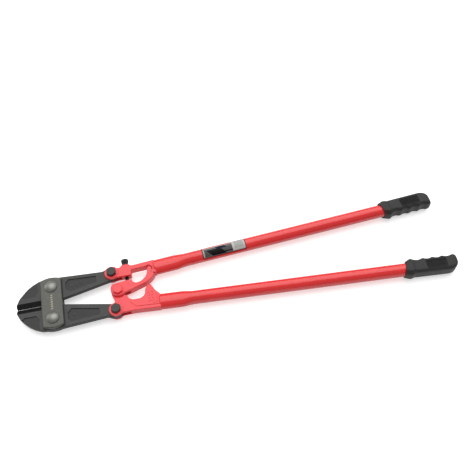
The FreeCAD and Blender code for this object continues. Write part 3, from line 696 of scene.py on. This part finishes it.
def pad(name: str, centre: Vector, size: Vector, turn: float = 0.0, soft: float = 0.35 * MM) -> Workpiece:
    """A low raised pad with rounded edges, such as a forge mark.

    Args:
        name: the piece's name.
        centre: its middle.
        size: its length, width and height.
        turn: its angle about Z, in radians.
        soft: how far its edges are rounded.

    Returns:
        The pad.
    """
    made = Workpiece(name, bpy.ops.mesh.primitive_cube_add, size=1.0, location=centre,
                     rotation=(0.0, 0.0, turn), scale=size)
    with made.editing():
        bpy.ops.mesh.select_all(action="SELECT")
        bpy.ops.mesh.bevel(offset=soft, segments=3, affect="EDGES")
    return made


# ---------------------------------------------------------------- the sub-assemblies

@dataclass
class Grip:
    """A moulded grip: flared lip, finger hollows inside, a plain outer side and a ribbed panel on top."""

    side: Side
    start: float = 600.0 * MM
    long: float = 111.0 * MM
    step: float = 2.4 * MM
    half_tall: float = 16.9 * MM
    half_thick: float = 15.4 * MM
    corner: float = 8.5 * MM
    lip_at: float = 12.0 * MM
    outer_lip: float = 20.0 * MM
    inner_lip: float = 21.2 * MM
    lip_thick: float = 17.0 * MM
    lip_lean: float = math.radians(13.0)
    lean_ends: float = 32.0 * MM
    outer_round: float = 21.0 * MM
    inner_round: float = 6.0 * MM
    mouth: float = 15.5 * MM
    tube: float = 14.2 * MM
    panel_from: float = 39.0 * MM
    panel_to: float = 87.0 * MM
    panel_deep: float = 1.1 * MM
    ribs: int = 9

    @property
    def finger_stops(self) -> tuple[float, ...]:
        """Where the inner side is highest: the lip and the four ridges between fingers."""
        return (self.lip_at, *(self.lip_at + (26.0 + 21.0 * k) * MM for k in range(4)))

    def round_end(self, along: float, radius: float) -> float:
        """How much a rounded end takes off, at a place along the grip."""
        past = along - (self.long - radius)
        if past <= 0.0:
            return 0.0
        return radius - math.sqrt(max(0.0, radius ** 2 - past ** 2))

    def lip(self, along: float, peak: float, body: float) -> float:
        """The reach of the flared lip, easing down from its peak to the body's."""
        if along <= self.lip_at:
            share = (along / self.lip_at) ** 0.9
            return self.mouth + (peak - self.mouth) * share
        fall = min(1.0, (along - self.lip_at) / (8.0 * MM))
        return peak + (body - peak) * fall * fall * (3.0 - 2.0 * fall)

    def outer(self, along: float) -> float:
        """The outer side's reach from the tube's axis."""
        body = self.half_tall - 0.6 * MM + 0.012 * (along - self.lip_at)
        return self.lip(along, self.outer_lip, body) - self.round_end(along, self.outer_round)

    def inner(self, along: float) -> float:
        """The inner side's reach from the tube's axis, with its finger hollows."""
        stops = self.finger_stops
        if along <= stops[0]:
            return self.lip(along, self.inner_lip, self.half_tall)
        ridge = self.half_tall + 1.7 * MM
        for first, last in zip(stops, stops[1:]):
            if along <= last:
                share = (along - first) / (last - first)
                start = self.inner_lip if first == stops[0] else ridge
                hollow = 4.6 * MM if first == stops[0] else 3.0 * MM
                return start + (ridge - start) * share - hollow * math.sin(math.pi * share)
        return ridge - self.round_end(along, self.inner_round)

    def thick(self, along: float) -> float:
        """Half the grip's thickness."""
        return self.lip(along, self.lip_thick, self.half_thick) - self.round_end(along, 9.0 * MM)

    def roundness(self, along: float) -> float:
        """1 where the section is a circle and 0 where it is a rounded oblong."""
        share = min(1.0, max(0.0, (along - 10.0 * MM) / (14.0 * MM)))
        return 1.0 - share * share * (3.0 - 2.0 * share)

    def stations(self) -> list[float]:
        """Places along the grip where it has a ring of points."""
        count = round(self.long / self.step)
        even = [self.long * k / count for k in range(1, count + 1)]
        close = [self.long - self.step * share for share in (0.75, 0.5, 0.25)]
        return sorted(even + close)

    def model(self) -> Workpiece:
        """Models the grip in its handle's frame, its start at x = 0."""
        stations = self.stations()
        first = stations[0]
        piece = Workpiece(f"{self.side.word}_grip_moulding", bpy.ops.mesh.primitive_cube_add, size=1.0,
                          location=(first / 2.0, 0.0, 0.0),
                          scale=(first, 2.0 * self.half_tall, 2.0 * self.half_thick))
        with piece.editing():
            piece.pick(Pick.EDGES, lambda middle, run: abs(run.x) > 0.9)
            bpy.ops.mesh.bevel(offset=self.corner, segments=6, affect="EDGES")
            piece.pick(Pick.FACES, lambda middle, normal: normal.x > 0.9)
            for last, here in zip(stations, stations[1:]):
                bpy.ops.mesh.extrude_region_move(TRANSFORM_OT_translate={"value": (here - last, 0.0, 0.0)})
            for along in reversed((0.0, *stations)):
                self.shape_ring(piece, along)
            self.sink_panel(piece)
            self.open_mouth(piece)
            bpy.ops.mesh.select_all(action="SELECT")
            bpy.ops.mesh.normals_make_consistent(inside=False)
        piece.modify("SUBSURF", levels=2, render_levels=2)
        piece.join(self.model_ribs())
        return piece

    def shape_ring(self, piece: Workpiece, along: float) -> None:
        """Brings one ring of points to its section."""
        near = 1e-6

        def here(point: Vector) -> bool:
            """On this ring."""
            return abs(point.x - along) < near

        middle = (along, 0.0, 0.0)
        piece.pick(Pick.VERTS, lambda point, normal: here(point))
        bpy.ops.transform.tosphere(value=self.roundness(along))
        tall = piece.reach(here, 1)
        thick = piece.reach(here, 2)
        deep = max(self.thick(along), near)
        bpy.ops.transform.resize(value=(1.0, 1.0, deep / thick), center_override=middle)
        piece.pick(Pick.VERTS, lambda point, normal: here(point) and point.y > 0.0)
        outer = max(self.outer(along), near)
        bpy.ops.transform.resize(value=(1.0, outer / tall, 1.0), center_override=middle)
        piece.pick(Pick.VERTS, lambda point, normal: here(point) and point.y < 0.0)
        inner = max(self.inner(along), near)
        bpy.ops.transform.resize(value=(1.0, inner / tall, 1.0), center_override=middle)
        if along < self.lean_ends:
            lean = self.lip_lean * (1.0 - along / self.lean_ends)
            piece.pick(Pick.VERTS, lambda point, normal: here(point))
            bpy.ops.transform.rotate(value=-lean, orient_axis="Z",
                                     center_override=(along, -self.inner(along), 0.0))

    def sink_panel(self, piece: Workpiece) -> None:
        """Sinks the panel on the top facet, with tight edges."""
        piece.pick(Pick.FACES, lambda middle, normal: (
            normal.z > 0.9 and abs(middle.y) < 4.0 * MM and self.panel_from < middle.x < self.panel_to))
        bpy.ops.mesh.inset(thickness=1.0 * MM, depth=0.0)
        bpy.ops.mesh.inset(thickness=0.5 * MM, depth=0.0)
        bpy.ops.mesh.inset(thickness=0.4 * MM, depth=-self.panel_deep)
        bpy.ops.mesh.inset(thickness=0.5 * MM, depth=0.0)

    def open_mouth(self, piece: Workpiece) -> None:
        """Opens the mouth that the tube comes out of."""
        piece.pick(Pick.FACES, lambda middle, normal: normal.x < -0.9)
        bpy.ops.mesh.inset(thickness=self.mouth - self.tube, depth=0.0)
        bpy.ops.mesh.extrude_region_move(TRANSFORM_OT_translate={"value": (0.6 * MM, 0.0, 0.0)})
        bpy.ops.mesh.extrude_region_move(TRANSFORM_OT_translate={"value": (8.0 * MM, 0.0, 0.0)})

    def model_ribs(self) -> list[Workpiece]:
        """Slanted ribs across the panel's floor."""
        made = []
        room = self.panel_to - self.panel_from - 12.0 * MM
        for k in range(self.ribs):
            x = self.panel_from + 6.0 * MM + room * k / (self.ribs - 1)
            top = self.thick(x) - 0.15 * MM
            made.append(pad(f"rib_{k}", Vector((x, 0.0, top - 0.5 * MM)), Vector((1.5, 11.5, 1.0)) * MM,
                            math.radians(28.0)))
        return made

    def build(self, rubber: bpy.types.Material) -> None:
        """Models, places and dresses the grip in its CAD stand-in's place."""
        piece = self.model()
        piece.body.data.transform(Matrix.Translation((self.start, 0.0, 0.0)))
        piece.set_down(Handle(self.side).matrix, 50.0)
        piece.dress(rubber, f"{self.side.word}_handle", "grip_rubber")
        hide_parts(f"{self.side.word}_grip")


@dataclass
class AdjusterScrew:
    """The black thumb screw: fluted flared head, hexagon socket and a cut thread."""

    head_high: float = 13.7 * MM
    head_radius: float = 7.6 * MM
    foot_radius: float = 5.6 * MM
    crest: float = 4.0 * MM
    root: float = 3.3 * MM
    pitch: float = 1.25 * MM
    flutes: int = 22
    flute_deep: float = 0.09

    def model_head(self, seat: float) -> Workpiece:
        """Models the head along z from its seat."""
        around = 2 * self.flutes
        top = seat + self.head_high
        piece = Workpiece("adjuster_screw_turned", bpy.ops.mesh.primitive_cylinder_add, vertices=around,
                          radius=self.foot_radius, depth=1.5 * MM, location=(0.0, 0.0, seat + 0.75 * MM))
        levels = [(3.0, 0.2), (5.0, 0.45), (7.2, 0.72), (9.5, 0.92), (11.4, 1.0), (12.9, 1.0), (13.7, 0.90)]
        with piece.editing():
            piece.pick(Pick.FACES, lambda middle, normal: normal.z > 0.9)
            below = 1.5 * MM
            size = self.foot_radius
            for level, share in levels:
                level *= MM
                radius = self.foot_radius + (self.head_radius - self.foot_radius) * share
                rise = (0.0, 0.0, level - below)
                bpy.ops.mesh.extrude_region_move(TRANSFORM_OT_translate={"value": rise})
                factor = radius / size
                here = (0.0, 0.0, seat + level)
                bpy.ops.transform.resize(value=(factor, factor, 1.0), center_override=here)
                below, size = level, radius
            half = math.pi / self.flutes

            def in_flute(point: Vector, normal: Vector) -> bool:
                """On every second line of points, over the fluted part of the head."""
                number = round((math.atan2(point.y, point.x) % (2.0 * math.pi)) / half)
                return number % 2 == 0 and seat + 2.0 * MM < point.z < top - 0.4 * MM

            piece.pick(Pick.VERTS, in_flute)
            factor = 1.0 - self.flute_deep
            bpy.ops.transform.resize(value=(factor, factor, 1.0), center_override=(0.0, 0.0, seat))
        socket = Workpiece("socket_tool", bpy.ops.mesh.primitive_cylinder_add, vertices=6, radius=3.4 * MM,
                           depth=10.0 * MM, location=(0.0, 0.0, top))
        piece.modify("BOOLEAN", operation="DIFFERENCE", object=socket.body, solver="EXACT")
        bpy.data.objects.remove(socket.body)
        return piece

    def model_thread(self, tip: float, seat: float) -> Workpiece:
        """Models the shank's thread along z from its tip to the head's seat."""
        piece = Workpiece("thread", bpy.ops.mesh.primitive_plane_add, size=self.pitch)
        with piece.editing():
            piece.pick(Pick.VERTS, lambda point, normal: point.x < 0.0)
            bpy.ops.mesh.delete(type="VERT")
        piece.body.data.transform(Matrix.Rotation(math.pi / 2.0, 4, "X"))
        middle = tip + self.pitch / 2.0
        piece.body.data.transform(Matrix.Translation((self.root - self.pitch / 2.0, 0.0, middle)))
        with piece.editing():
            bpy.ops.mesh.select_all(action="SELECT")
            bpy.ops.mesh.subdivide(number_cuts=3)
            piece.pick(Pick.VERTS, lambda point, normal: abs(point.z - middle) < self.pitch / 8.0)
            bpy.ops.transform.translate(value=(self.crest - self.root, 0.0, 0.0))
        turns = int((seat - tip) / self.pitch)
        piece.modify("SCREW", axis="Z", angle=2.0 * math.pi, steps=20, render_steps=20,
                     screw_offset=self.pitch, iterations=turns, use_merge_vertices=True, merge_threshold=1e-6)
        with piece.editing():
            bpy.ops.mesh.select_all(action="SELECT")
            bpy.ops.mesh.remove_doubles(threshold=1e-6)
            bpy.ops.mesh.fill_holes(sides=0)
            bpy.ops.mesh.normals_make_consistent(inside=False)
        return piece

    def build(self, black: bpy.types.Material) -> None:
        """Models and places the screw in its CAD stand-in's place."""
        low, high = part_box("adjuster_screw")
        seat = high.y - self.head_high
        piece = self.model_head(seat)
        piece.join([self.model_thread(low.y, seat + 0.5 * MM)])
        stand = Matrix.Rotation(-math.pi / 2.0, 4, "X")
        middle = Vector(((low.x + high.x) / 2.0, 0.0, (low.z + high.z) / 2.0))
        piece.set_down(Matrix.Translation(middle) @ stand, 35.0)
        piece.dress(black, "adjuster_screw", "screw_black")
        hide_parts("adjuster_screw")


@dataclass
class ForgeMarks:
    """Raised pads on the jaws' tails and the horn, and printed dashes on the plate, with no lettering."""

    horn_face: float = 10.0 * MM
    dashes: int = 7

    def jaw(self, side: Side, steel: bpy.types.Material) -> None:
        """A lozenge and a row of slanted bars in one jaw's tail recess."""
        low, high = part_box(f"{side.word}_jaw")
        half = (high.z - low.z) / 2.0
        floor = half - 1.8 * MM
        lozenge_x, first_bar, gap = 41.0 * MM, 51.0 * MM, 4.6 * MM
        pads = []
        places = [(lozenge_x, Vector((5.2, 5.2, 1.2)), math.radians(45.0))]
        places += [(first_bar + gap * k, Vector((1.7, 7.0, 1.2)), math.radians(-14.0 * side.value))
                   for k in range(3)]
        for number, (x, size, turn) in enumerate(places):
            y = side.value * (33.2 * MM + (x - lozenge_x) * 0.10)
            middle = TOOL.point(x, y, floor + 0.1 * MM)
            pads.append(pad(f"{side.word}_tail_mark_{number}", middle, size * MM, turn))
        whole = pads[0]
        whole.join(pads[1:])
        whole.body.name = f"{side.word}_jaw_forge_mark"
        whole.set_down(Matrix.Identity(4))
        whole.dress(steel, f"{side.word}_jaw", "jaw_steel")

    def horn(self, paint: bpy.types.Material) -> None:
        """An angled bead and two rows of pads on the lower head's horn."""
        face = self.horn_face
        soft = 0.5 * MM
        beads = [pad("bead_side", TOOL.point(209.0 * MM, -34.0 * MM, face), Vector((1.7, 19.0, 1.2)) * MM,
                     math.radians(-3.0), soft),
                 pad("bead_foot", TOOL.point(205.0 * MM, -43.6 * MM, face), Vector((9.0, 1.7, 1.2)) * MM,
                     math.radians(3.0), soft)]
        for column, x in enumerate((194.5, 201.0)):
            for row in range(4):
                y = -18.5 - 6.6 * row
                slant = math.radians(35.0 * (1 - 2 * column))
                beads.append(pad(f"horn_pad_{column}_{row}", TOOL.point(x * MM, y * MM, face),
                                 Vector((3.8, 2.3, 1.2)) * MM, slant, soft))
        whole = beads[0]
        whole.join(beads[1:])
        whole.body.name = "horn_cast_mark"
        whole.set_down(Matrix.Identity(4))
        whole.dress(paint, "lower_handle", "red_casting")

    def plate(self, print_paint: bpy.types.Material) -> None:
        """A column of pale printed dashes between the two domed bolts."""
        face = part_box("front_side_plate")[1].z
        first, gap = 15.0 * MM, 5.0 * MM
        dashes = []
        for k in range(self.dashes):
            middle = TOOL.point(0.0, first - gap * k, 0.0)
            middle.z = face + 0.01 * MM
            size = Vector((4.4, 2.8, 0.14)) * MM
            dashes.append(pad(f"dash_{k}", middle, size, math.radians(24.0), 0.05 * MM))
        whole = dashes[0]
        whole.join(dashes[1:])
        whole.body.name = "plate_printed_dashes"
        whole.set_down(Matrix.Identity(4))
        whole.dress(print_paint, "jaw_plates", "bolt_satin")


@dataclass
class Finishing:
    """Dresses the CAD nodes that are shown as they are."""

    def coat(self, node: str, material: bpy.types.Material) -> None:
        """Gives one CAD node its material."""
        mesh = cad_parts[node].data
        mesh.materials.clear()
        mesh.materials.append(material)
        log.info("%s is finished in %s", node, material.name)

    def dress_all(self, paint: bpy.types.Material, jaw: bpy.types.Material, dark: bpy.types.Material) -> None:
        """Gives every carried-over node its finish.

        Args:
            paint: the castings' red paint.
            jaw: the jaws' steel.
            dark: the blacked fasteners' steel.
        """
        plate = PlateSteel().material("rolled_plate")
        for node in ("front_side_plate", "rear_side_plate"):
            self.coat(node, plate)
        for side in Side:
            word = side.word
            low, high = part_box(f"{word}_jaw_bolt")
            self.coat(f"{word}_jaw", jaw)
            self.coat(f"{word}_jaw_bolt", TurnedSteel((low + high) / 2.0).material(f"{word}_turned_dome"))
            self.coat(f"{word}_jaw_nut", dark)
            self.coat(f"{word}_handle_head", paint)
            self.coat(f"{word}_handle_tube", TubePaint(side).material(f"{word}_tube_paint"))
            for piece in ("bolt", "spring_washer", "nut"):
                self.coat(f"{word}_link_{piece}", dark)
        self.coat("adjuster_arm", paint)
        self.coat("centre_bolt", paint)
        self.coat("centre_spring_washer", dark)
        self.coat("centre_nut", dark)
        self.coat("handle_label", LabelPrint(long=95.0 * MM, start=187.0 * MM).material("label_print"))


@dataclass
class Studio:
    """A pale floor, soft light from above and behind, and the camera."""

    floor_wide: float = 12.0
    azimuth: float = -12.3
    elevation: float = 58.0
    distance: float = 1.3735
    lens: float = 48.02
    sensor: float = 36.0

    def light(self) -> None:
        """Sets the world's glow, a broad key light and a low side light."""
        world = bpy.data.worlds.new("studio_air")
        world.use_nodes = True
        glow = world.node_tree.nodes["Background"]
        glow.inputs["Color"].default_value = (1.0, 1.0, 1.0, 1.0)
        glow.inputs["Strength"].default_value = 0.45
        bpy.context.scene.world = world
        self.sun("key_light", Vector((0.14, 0.42, 0.90)), 2.1, 70.0)
        self.panel("side_light", Vector((-0.737, 0.557, 0.375)), 1.7, 0.9, 4.0)

    def sun(self, name: str, towards: Vector, strength: float, spread: float) -> None:
        """A distant broad light.

        Args:
            name: its name.
            towards: the direction it lies in, seen from the tool.
            strength: its strength.
            spread: how wide it looks, in degrees.
        """
        data = bpy.data.lights.new(name, "SUN")
        data.energy = strength
        data.angle = math.radians(spread)
        lamp = bpy.data.objects.new(name, data)
        lamp.rotation_euler = towards.to_track_quat("Z", "Y").to_euler()
        bpy.context.scene.collection.objects.link(lamp)

    def panel(self, name: str, towards: Vector, away: float, wide: float, power: float) -> None:
        """A square soft box.

        Args:
            name: its name.
            towards: the direction it lies in, seen from the jaws.
            away: its distance.
            wide: the length of its side.
            power: its power in watts.
        """
        data = bpy.data.lights.new(name, "AREA")
        data.energy = power
        data.size = wide
        lamp = bpy.data.objects.new(name, data)
        lamp.location = TOOL.point(0.0, 0.0, 0.0) + towards.normalized() * away
        lamp.rotation_euler = towards.to_track_quat("Z", "Y").to_euler()
        bpy.context.scene.collection.objects.link(lamp)

    def lay_floor(self) -> None:
        """Lays the floor, hidden from diffuse light so that its glow doesn't pale the tool's low sides."""
        floor = Workpiece("studio_floor", bpy.ops.mesh.primitive_grid_add, x_subdivisions=8, y_subdivisions=8,
                          size=self.floor_wide)
        floor.body.data.materials.append(StudioFloor().material("floor_paint"))
        floor.body.visible_diffuse = False
        floor.body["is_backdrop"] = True

    def aim(self) -> None:
        """Sets up the camera on the side where the operator stands."""
        across, up = math.radians(self.azimuth), math.radians(self.elevation)
        back = Vector((math.sin(across) * math.cos(up), -math.cos(across) * math.cos(up), math.sin(up)))
        data = bpy.data.cameras.new("camera")
        data.lens = self.lens
        data.sensor_width = self.sensor
        camera = bpy.data.objects.new("camera", data)
        camera.location = TOOL.point(400.6 * MM, 76.7 * MM, 0.0) + back * self.distance
        camera.rotation_mode = "QUATERNION"
        camera.rotation_quaternion = back.to_track_quat("Z", "Y")
        bpy.context.scene.collection.objects.link(camera)
        bpy.context.scene.camera = camera
        bpy.context.scene.view_settings.view_transform = "Standard"


def corners(box: tuple[Vector, Vector]) -> list[list[float]]:
    """A box as plain lists of numbers."""
    return [[round(c, 6) for c in corner] for corner in box]


def main(cad_box: list[list[float]]) -> None:
    """Builds the looks in order.

    Args:
        cad_box: the frame's own box, straight after loading; not used.
    """
    logging.basicConfig(level=logging.INFO, format="%(name)s: %(message)s")
    studio = Studio()
    studio.aim()
    studio.light()
    studio.lay_floor()

    paint = CastingPaint().material("casting_paint")
    jaw = JawSteel().material("jaw_steel")
    dark = BlackedSteel().material("blacked_fastener")
    screw_black = BlackedSteel(dark=(0.006, 0.006, 0.006), light=(0.020, 0.020, 0.020),
                               roughness=0.38).material("blacked_screw")
    Finishing().dress_all(paint, jaw, dark)
    for side in Side:
        Grip(side).build(MouldedRubber(side).material(f"{side.word}_grip_rubber"))
    AdjusterScrew().build(screw_black)
    marks = ForgeMarks()
    for side in Side:
        marks.jaw(side, jaw)
    marks.horn(paint)
    marks.plate(PalePrint().material("pale_print"))


if __name__ == "__main__":
    main(corners(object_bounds()))
